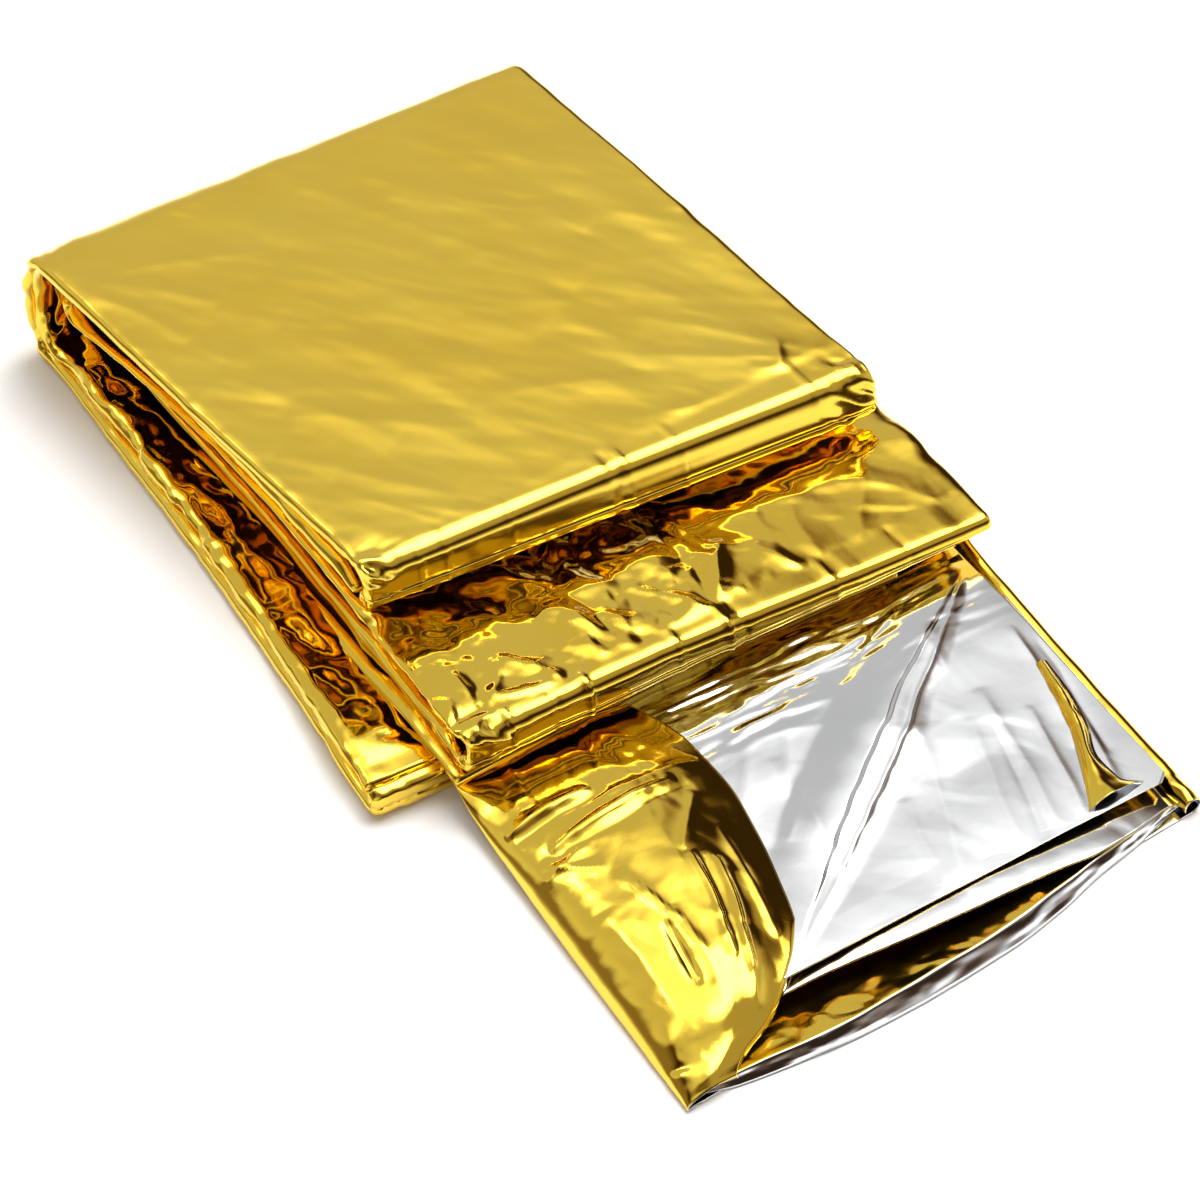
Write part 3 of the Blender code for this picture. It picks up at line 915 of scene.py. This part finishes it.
# Each row: (x, y at one end, x, y at the other, height, half width)
FLAP_CREASES = (
    (-14, -369, 26, -374, 2.2, 1.8), (-12, -374, 30, -380, -1.0, 2.4),
    (-6, -389, 58, -389, 2.0, 1.6), (0, -394, 62, -396, -1.0, 3.0), (20, -380, 74, -384, 1.0, 2.6),
    (5, -450, -1, -483, -2.2, 1.0), (12, -446, 6, -486, 1.2, 2.2), (37, -428, 17, -481, 2.4, 1.5),
    (45, -434, 20, -489, 2.2, 1.4), (40, -430, 22, -470, -1.2, 2.0), (7, -418, 10, -454, 1.4, 1.6),
    (56, -420, 40, -480, 1.2, 2.2), (-12, -392, 4, -414, 1.4, 1.6), (-16, -400, 8, -398, 1.2, 1.4),
    (60, -398, 34, -424, 0.9, 3.0), (-8, -430, -18, -500, 0.8, 4.0), (30, -470, 10, -502, 1.2, 2.0),
)


def long_edge(side, y):
    """x of the long run's edge at y: side 0 is its left edge and 1 its right."""
    first, second, bow = RUNS["long"]
    (x0, y0), (x1, y1) = run_end(first, side), run_end(second, side)
    u = (y - y0) / (y1 - y0)
    return between(x0, x1, u) + bow * np.sin(math.pi * u)


def across_run(x, y):
    """Share of the way across the long run at (x, y)."""
    left, right = long_edge(0, y), long_edge(1, y)
    return np.clip((x - left) / (right - left), 0, 1)


def cover_profile(y):
    """Outer ply at the mouth, each row at one y: down the flap from its free edge to its
    ridge, a quarter ellipse from there to the curled left edge, a small arc at its foot,
    straight under the mouth, and an arc round the right edge to the roll's free edge.
    It comes with how far inwards each point is from the flap's free edge."""
    reach, peak, tall, edge = curves(y, FLAP)
    q = curve_through(y, RIGHT_ROLL) / 2
    left, right = long_edge(0, y), long_edge(1, y)
    floor_left, floor_right = (run_height("long", y, side) - 1.0 for side in (0, 1))
    w = np.linspace(1, 0, FLAP_COLUMNS)[None, :]
    cuff = ease((-474 - y) / 14) * np.clip((w - 0.9) / 0.1, 0, 1) ** 2
    free_x = between(left + peak, left + reach, w)
    free_z = between(tall, edge, w**1.25) - CUFF_DROP * cuff
    quarter = math.pi / 2
    turn = np.linspace(quarter, 0, CURL_COLUMNS + 1)[None, 1:] ** 1.15 / quarter**0.15
    foot = floor_left + CURL_FOOT
    side_x, side_z = left + peak * (1 - np.cos(turn)), foot + (tall - foot) * np.sin(turn)
    tuck = np.linspace(0, quarter, FOOT_COLUMNS + 1)[None, 1:]
    tuck_x, tuck_z = left + CURL_FOOT * (1 - np.cos(tuck)), foot - CURL_FOOT * np.sin(tuck)
    b = np.linspace(0, 1, UNDER_COLUMNS)[None, :]
    under_x, under_z = between(left + CURL_FOOT, right - q, b), between(floor_left, floor_right, b)
    bend = np.linspace(0, ROLL_TURN * math.pi, ROLL_COLUMNS + 1)[None, 1:]
    right_x, right_z = right - q + q * np.sin(bend), floor_right + q - q * np.cos(bend)
    x = np.concatenate([free_x, side_x, tuck_x, under_x, right_x], axis=1)
    z = np.concatenate([free_z, side_z, tuck_z, under_z, right_z], axis=1)
    return np.stack([x, y * np.ones_like(x), z], axis=-1), left + reach - x


def cover_grid():
    """Outer ply at the mouth: its profiles, moved outwards by facets and creases, which
    calm down exponentially towards the flap's free edge."""
    grid, inward = cover_profile(spaced(COVER_ROWS)[:, None])
    x, y, z = grid[..., 0], grid[..., 1], grid[..., 2]
    normal = unit(np.cross(np.gradient(grid, axis=1), np.gradient(grid, axis=0)))
    normal = normal * np.sign(normal[:, FLAP_COLUMNS // 2 : FLAP_COLUMNS // 2 + 1, 2:3])
    rest = x.shape[1] - CREASED_COLUMNS - FADE_COLUMNS
    fading = np.linspace(1, 0, FADE_COLUMNS)
    flap = np.concatenate([np.ones(CREASED_COLUMNS), fading, np.zeros(rest)])
    h = flap * (0.9 * crumple(x, y, 27, 501, 1.5, 1.25) + 0.42 * crumple(x, y, 12, 505))
    h += flap * creases(x, y, FLAP_CREASES)
    h *= 1 - 0.85 * flap * np.exp(-np.clip(inward, 0, 40) / 5)
    h += flap * 1.6 * bell(x, y, FLAP_MIDDLE) * crumple(x, y, 12, 521)
    h += flap * 1.4 * bell(x, y, FLAP_TIP) * crumple(x, y, 10, 531)
    h += (1 - flap) * 0.35 * crumple(y, x + z, 18, 511)
    return grid + normal * crumpled_corners(h, grid, RIGHT_TIP)[..., None]


mouth_cover, cover_size = thin_sheet("mouth_cover", cover_grid(), MOUTH_FILM, gloss_gold, silver)

# Front edge of the opened strip. Each row: (x, y)
FRONT_EDGE = ((-36, -515), (-13, -521), (18, -526.5), (45, -530), (83, -531.6), (120, -531),
              (150, -527.6), (175, -522.5), (200, -519), (231, -513))
LIP_HEIGHT, LIP_BACK = 8.0, 5.6   # of the lip's crest, above the ply and behind its edge
LIP_RUN, LIP_ROWS = 23.0, 9       # length of its rise, and rows on its front slope
INNER_BACK, INNER_MARGIN, INNER_COLUMNS = -345, 3, 190   # back end's y, and inset at the sides
INNER_ROWS = ((0, 23), (0.72, 1), (0.73, 57), (1, 0))    # (share, rows on to the next)


def inner_gold_grid():
    """Inner ply, gold side up: level between the curled edges, then rising more and more to
    the lip's crest, from which the outer ply slopes forwards down to the floor."""
    w = np.linspace(0, 1, INNER_COLUMNS)[None, :]
    front = curve_through(between(FRONT_EDGE[0][0], FRONT_EDGE[-1][0], w), FRONT_EDGE)
    tall = np.sin(math.pi * np.clip(w, 0.015, 0.985)) ** 0.5
    crest = front + LIP_BACK * tall
    t = spaced(INNER_ROWS)[:, None]
    flat_y = between(INNER_BACK, crest, t)
    fall = np.linspace(0, 1, LIP_ROWS + 1)[1:, None]
    y = np.concatenate([flat_y, between(crest, front, fall)])
    back = np.clip((flat_y - crest) / LIP_RUN, 0, 1)
    rise = (1 - back) * (1 - 0.35 * back) * LIP_HEIGHT * tall
    rise = np.concatenate([rise, rise[-1:] * (1 - fall**1.15)])
    x = between(long_edge(0, y) + INNER_MARGIN, long_edge(1, y) - INNER_MARGIN, w)
    z = run_height("long", y, across_run(x, y)) - 0.6 + rise
    shown = ease((-462 - y) / 20) * tall * np.concatenate([ease((1 - t) / 0.03), 0 * fall])
    z = z + shown * (1.4 * crumple(x, y, 12, 605, 1.3, 1.5) + 0.5 * crumple(x, y, 7, 608))
    lip = np.concatenate([0 * t, 1 - np.abs(2 * fall - 1)])
    y = y + lip * crumple(x, 9 * lip, 13, 607) + 0.8 * (rise > 1) * soft_noise(x / 21, 0 * y, 609)
    return np.stack([x, y, z], axis=-1)


inner_gold, inner_size = thin_sheet(
    "mouth_inner_gold", inner_gold_grid(), MOUTH_FILM, satin_gold, silver, LIP_ROWS
)

# Front edge of the second ply. Each row: (x, y)
UNDER_EDGE = ((14, -498), (26, -499), (49, -501.5), (90, -508.5), (119, -512), (156, -516),
              (174, -518.5), (193, -517.5), (217, -514))
LOWER_BACK, LOWER_SPAN = -350, (14, 219)   # back end's y, and its front corners' x
LOWER_COLUMNS, LOWER_ROWS = 160, ((0, 15), (0.6, 1), (0.62, 63), (1, 0))
CREST_HEIGHT, CREST_BACK = 2.8, 6.5   # of the crest behind its front edge


def crowned(v, gain, power):
    """Crown across a ply: a parabola from 0 at both edges, times gain, cut off at 1 and
    raised to a power."""
    return np.clip(4 * v * (1 - v) * gain, 0, 1) ** power


def lower_silver_grid():
    """Second ply, silver side up: it rises to a crest just behind its front edge, and
    its edge sinks a little in front of that."""
    w = np.linspace(0, 1, LOWER_COLUMNS)[None, :]
    front = curve_through(between(*LOWER_SPAN, w), UNDER_EDGE)
    y = between(LOWER_BACK, front, spaced(LOWER_ROWS)[:, None])
    left = long_edge(0, y) + 16 + 26 * ease((-466 - y) / 40)
    x = between(left, long_edge(1, y) - 8, w)
    crown = crowned(w, 1, 0.5)
    z = run_height("long", y, across_run(x, y)) + 1.4 + 5.4 * crown * ease((LOWER_BACK - y) / 90)
    crest = front + CREST_BACK * crown
    behind = ease(1 - (y - crest) / 26)
    ahead = 1 - 0.12 * np.clip((crest - y) / CREST_BACK, 0, 1) ** 2
    z = z + CREST_HEIGHT * crown * np.where(y > crest, behind, ahead)
    z = z + 0.5 * crown * crumple(x, y, 22, 701)
    return np.stack([x, y, z], axis=-1)


lower_silver, lower_size = thin_sheet(
    "mouth_lower_silver", lower_silver_grid(), MOUTH_FILM, silver, gloss_gold
)

# The slanting fold on the top ply runs between these points; the top ply is worked out along it
FOLD_START, FOLD_END = (242, -356), (34, -494)
FOLD_HEIGHT, FOLD_BOW, FOLD_WIDTH = 3.4, 5.0, 12.0
# Lines parallel to it. Each row: (distance from it, lines on to the next)
FOLD_LINES = ((-136, 62), (-26, 20), (-9, 52), (11, 18), (30, 65), (113, 0))
LINE_COLUMNS, LINE_REACH, SHORTEST_LINE = 172, 400.0, 0.5   # reach: no line goes further
# Sides of the top ply's outline, clockwise. Each row: (x, y of one point, x, y of another)
SILVER_OUTLINE = (
    (6, -338, 247, -338), (247, -338, 225, -506), (225, -506, -8, -495), (-8, -500, 6, -338),
)
# Each row: (y, height of the top ply's middle)
SILVER_HEIGHTS = ((-336, 9.8), (-350, 9.2), (-370, 10.4), (-388, 11.6), (-404, 11.9), (-424, 11.8),
                  (-452, 11.8), (-485, 12.3), (-506, 12.4))
# Each row: (x, y at one end, x, y at the other, height, half width)
SILVER_CREASES = (
    (180, -430, 150, -500, 0.9, 5.0), (130, -450, 110, -500, 0.8, 4.0),
    (160, -420, 120, -500, 0.9, 5.0), (196, -420, 170, -500, 0.9, 3.0),
    (206, -440, 182, -502, 1.0, 2.0), (190, -436, 160, -502, -0.7, 2.0),
    (232, -400, 206, -470, 1.6, 1.4), (236, -410, 214, -480, -1.0, 1.8),
    (226, -440, 204, -500, 1.2, 1.6), (120, -360, 60, -430, 0.9, 4.0),
    (150, -352, 90, -420, 0.8, 3.0), (100, -400, 84, -470, 0.9, 2.5),
    (196, -352, 120, -356, 1.0, 2.0), (176, -360, 84, -362, -0.9, 2.0),
    (150, -366, 82, -372, 0.8, 1.6), (204, -360, 160, -376, 1.2, 1.4),
    (110, -410, 76, -440, 0.7, 3.0), (90, -380, 140, -400, 0.6, 3.0),
)


def slanting_lines():
    """Points on lines parallel to the slanting fold, each from outline to outline: their x
    and y, distance from the fold, and share of its length."""
    x0, y0 = FOLD_START
    length = math.hypot(FOLD_END[0] - x0, FOLD_END[1] - y0)
    ux, uy = (FOLD_END[0] - x0) / length, (FOLD_END[1] - y0) / length
    nx, ny = -uy, ux
    off = spaced(FOLD_LINES)
    start, end = np.full_like(off, -LINE_REACH), np.full_like(off, LINE_REACH)
    for ax, ay, bx, by in SILVER_OUTLINE:
        ox, oy = -(by - ay), bx - ax
        inside = (x0 + nx * off - ax) * ox + (y0 + ny * off - ay) * oy
        pace = ux * ox + uy * oy
        if pace < 0:
            start = np.maximum(start, -inside / pace)
        else:
            end = np.minimum(end, -inside / pace)
    end = np.maximum(end, start + SHORTEST_LINE)
    along = between(start[:, None], end[:, None], np.linspace(0, 1, LINE_COLUMNS)[None, :])
    off = off[:, None] * np.ones_like(along)
    return x0 + nx * off + ux * along, y0 + ny * off + uy * along, off, along / length


def slanting_fold(off, share):
    """Height of the slanting fold: a broad roll up to its crest line, a small steep drop, a
    long fall, and a fine ridge near its foot; it widens from nothing at its start."""
    wave = np.sin(math.pi * np.clip(share, 0, 1))
    wander = 1.1 * soft_noise(share * 9, 0 * off, 821) + 0.5 * soft_noise(share * 26, 0 * off, 823)
    d = off + FOLD_BOW * wave + wander * wave
    width = FOLD_WIDTH * np.maximum(wave, 0.05) ** 0.8
    tall = FOLD_HEIGHT * np.maximum(wave, 0) ** 0.6 * (1 - 0.45 * ease((share - 0.6) / 0.35))
    left = np.clip(1 - (d / 24) ** 2, 0, 1) ** 1.3
    drop = 0.6 + 0.4 * ease(1 - d / 2.2)
    right = drop * ease(1 - (d - 2) / (width * 1.5))
    return tall * (np.where(d < 0, left, right) + 0.16 * ridge(d - 0.85 * width, 0.5, 1.2))


def upper_silver_grid():
    """Top ply at the mouth, silver side up: its heights along y, lower at the sides, and the
    slanting fold, soft noise, facets, creases and fine streaks at its back added."""
    x, y, off, share = slanting_lines()
    crown = crowned(across_run(x, y), 1.6, 0.7)
    fade = ease((-340 - y) / 24)
    z = curve_through(y, SILVER_HEIGHTS) - 1.6 * (1 - crown)
    z = z + crown * slanting_fold(off, share)
    swell = soft_noise(x / 38, y / 38, 801)
    z = z + fade * crown * (0.45 * creases(x, y, SILVER_CREASES) + 0.4 * swell)
    z = z + fade * crown * 0.3 * crumple(x, y, 26, 805)
    z = z + ease((y + 398) / 20) * crown * 0.7 * streaks(x, y, 5, 811, 5.0, -0.05)
    return np.stack([x, y, z], axis=-1)


upper_silver, _ = thin_sheet(
    "mouth_upper_silver", upper_silver_grid(), MOUTH_FILM, silver, gloss_gold
)

# The pleat beside the right roll, gold side out, which opens to a pointed tip at the front.
# Each row: (share of its length, left x, left y, right x, right y, height above the ply)
PLEAT = (
    (0.0, 226.0, -423, 227.4, -424, 0.4), (0.25, 218.6, -443, 222.4, -446, 1.6),
    (0.5, 212.0, -460, 216.0, -463, 2.0), (0.75, 201.4, -479, 206.6, -482, 2.2),
    (0.9, 193.0, -492, 206.0, -494, 2.4), (1.0, 186.5, -501, 213.0, -501, 3.2),
)
PLEAT_ROWS, PLEAT_COLUMNS, PLEAT_TUCK = 60, 16, 1.8


def pleat_grid():
    """Narrow arched pleat between its two side lines, tucked in a little under both."""
    t = np.linspace(0, 1, PLEAT_ROWS)[:, None]
    w = np.concatenate([[0], np.linspace(0, 1, PLEAT_COLUMNS), [1]])[None, :]
    tuck = np.concatenate([[-PLEAT_TUCK], np.zeros(PLEAT_COLUMNS), [PLEAT_TUCK]])[None, :]
    left_x, left_y, right_x, right_y, tall = curves(t, PLEAT)
    x, y = between(left_x, right_x, w) + tuck, between(left_y, right_y, w)
    arch = tall * np.sin(math.pi * w**0.8)
    z = curve_through(y, SILVER_HEIGHTS) + 0.6 + arch - 0.5 * np.abs(tuck)
    z = z + 0.5 * crumple(x, y, 7, 841) * ease(t / 0.2)
    return np.stack([x, y, z], axis=-1)


pleat, pleat_size = thin_sheet("mouth_pleat", pleat_grid(), PLEAT_FILM, gloss_gold, silver)

# Floor, light and camera, in metres and degrees

FLOOR_REACH = 9
PANEL_AZIMUTH, PANEL_ELEVATION, PANEL_DISTANCE = 100, 62, 3.2
PANEL_SIDE, PANEL_RADIANCE = 3.2, 2.5
# Soft lights of the studio's sky.
# Each row: (azimuth, elevation, full out to this angle, gone at this angle, radiance)
SKY = (
    (165, 76, 8, 32, 0.8),
    (108, 64, 8, 21, 5.5),
    (135, 62, 6, 24, 0.55),
    (116, 48, 5, 17, 0.36),
    (198, 58, 2, 12, 1.5),
    (197, 57, 1, 6, 4.5),
    (178, 37, 32, 43, 0.57),
    (55, 52, 12, 34, 0.40),
    (246, 22, 14, 40, 0.22),
    (-50, 25, 15, 42, 0.6),
    (80, 22, 8, 26, 0.5),
    (-37, 52, 10, 30, 0.25),
)
HORIZON_RADIANCE, DARK_RADIANCE = 0.85, 0.03
HORIZON_FALL = 3.2             # the horizon's light is gone at a height of 1 / this
DARK_COLOUR, LIGHT_COLOUR = (1.0, 0.60, 0.35), (1.0, 0.985, 0.96)
COLOUR_GAIN = 1.9              # the sky has its light colour from a radiance of 1 / this
GLOSSY_BOUNCES = 5             # more of them turn the recesses red
CAMERA_AZIMUTH, CAMERA_ELEVATION, CAMERA_DISTANCE, CAMERA_ROLL = -36.96, 44.32, 1.7905, 0.22
LENS_MM, SENSOR_MM, CLIP_END = 127.1, 36, 50
TARGET = (88.29, -297.1, 30.0)   # what the camera looks at, in the folder's plan


def direction(azimuth, elevation):
    """Unit vector away from the object: azimuth 0 is its front, 90 its right and -37 the
    camera's side."""
    a, e = math.radians(azimuth), math.radians(elevation)
    return Vector((math.sin(a) * math.cos(e), -math.cos(a) * math.cos(e), math.sin(e)))


def lay_floor():
    """Level square far larger than the object, matt, its pale tint a little clouded."""
    finish = Finish("pale_floor")
    clouds = finish.noise(finish.place(), 3.0)
    finish.fill(
        finish.shader, Roughness=0.9, Specular_IOR_Level=0.0,
        Base_Color=finish.mix(clouds, (0.90, 0.90, 0.905), (0.93, 0.93, 0.93)),
    )
    mesh = bpy.data.meshes.new("floor")
    sides = ((-1, -1), (1, -1), (1, 1), (-1, 1))
    mesh.from_pydata([(x * FLOOR_REACH, y * FLOOR_REACH, 0) for x, y in sides], [], [(0, 1, 2, 3)])
    mesh.materials.append(finish.material)
    linked("floor", mesh)


def hang_panel():
    """Soft square panel of light that faces the object and isn't reflected in it."""
    light = bpy.data.lights.new("floor_panel", "AREA")
    light.shape = "RECTANGLE"
    light.size = light.size_y = PANEL_SIDE
    light.energy = PANEL_RADIANCE * math.pi * PANEL_SIDE**2
    panel = linked("floor_panel", light)
    away = direction(PANEL_AZIMUTH, PANEL_ELEVATION)
    panel.location = away * PANEL_DISTANCE
    panel.rotation_euler = away.to_track_quat("Z", "Y").to_euler()
    panel.visible_glossy = False


def light_sky():
    """World light: a horizon that fades upwards as a square, and round soft lights, each
    eased from full to nothing. Dim light is orange and bright light nearly white."""
    world = bpy.data.worlds.new("studio")
    bpy.context.scene.world = world
    world.use_nodes = True
    sky = Nodes(world.node_tree)
    seen = sky.node("ShaderNodeTexCoord").outputs["Generated"]
    separate = sky.node("ShaderNodeSeparateXYZ", Vector=seen)
    x, y, z = (Maths(sky.tree, socket) for socket in separate.outputs)
    horizon = (1 - z * HORIZON_FALL).clamped(0, 1)
    radiance = horizon * horizon * HORIZON_RADIANCE
    for azimuth, elevation, inner, outer, strength in SKY:
        middle = direction(azimuth, elevation)
        facing = x * middle.x + y * middle.y + z * middle.z
        near, far = math.cos(math.radians(inner)), math.cos(math.radians(outer))
        t = ((facing - far) * (1 / (near - far))).clamped(0, 1)
        radiance = radiance + t * t * (3 - 2 * t) * strength
    tint = sky.mix((radiance * COLOUR_GAIN).clamped(0, 1), DARK_COLOUR, LIGHT_COLOUR)
    sky.fill(sky.tree.nodes["Background"], Color=tint, Strength=radiance + DARK_RADIANCE)


def set_camera():
    """Camera at the photograph's viewing angle, turned a little about its line of sight."""
    lens = bpy.data.cameras.new("camera")
    lens.sensor_width, lens.lens, lens.clip_end = SENSOR_MM, LENS_MM, CLIP_END
    camera = linked("camera", lens)
    back = direction(CAMERA_AZIMUTH, CAMERA_ELEVATION)
    a = math.radians(CAMERA_AZIMUTH)
    right = Vector((math.cos(a), math.sin(a), 0))
    axes = Matrix((right, back.cross(right), back)).transposed()
    turned = axes @ Matrix.Rotation(math.radians(CAMERA_ROLL), 3, "Z")
    place = Vector((np.array(TARGET) - ORIGIN) * MM) + back * CAMERA_DISTANCE
    camera.matrix_world = Matrix.Translation(place) @ turned.to_4x4()
    bpy.context.scene.camera = camera


lay_floor()
hang_panel()
light_sky()
set_camera()
bpy.context.scene.view_settings.view_transform = "Standard"
bpy.context.scene.cycles.glossy_bounces = GLOSSY_BOUNCES
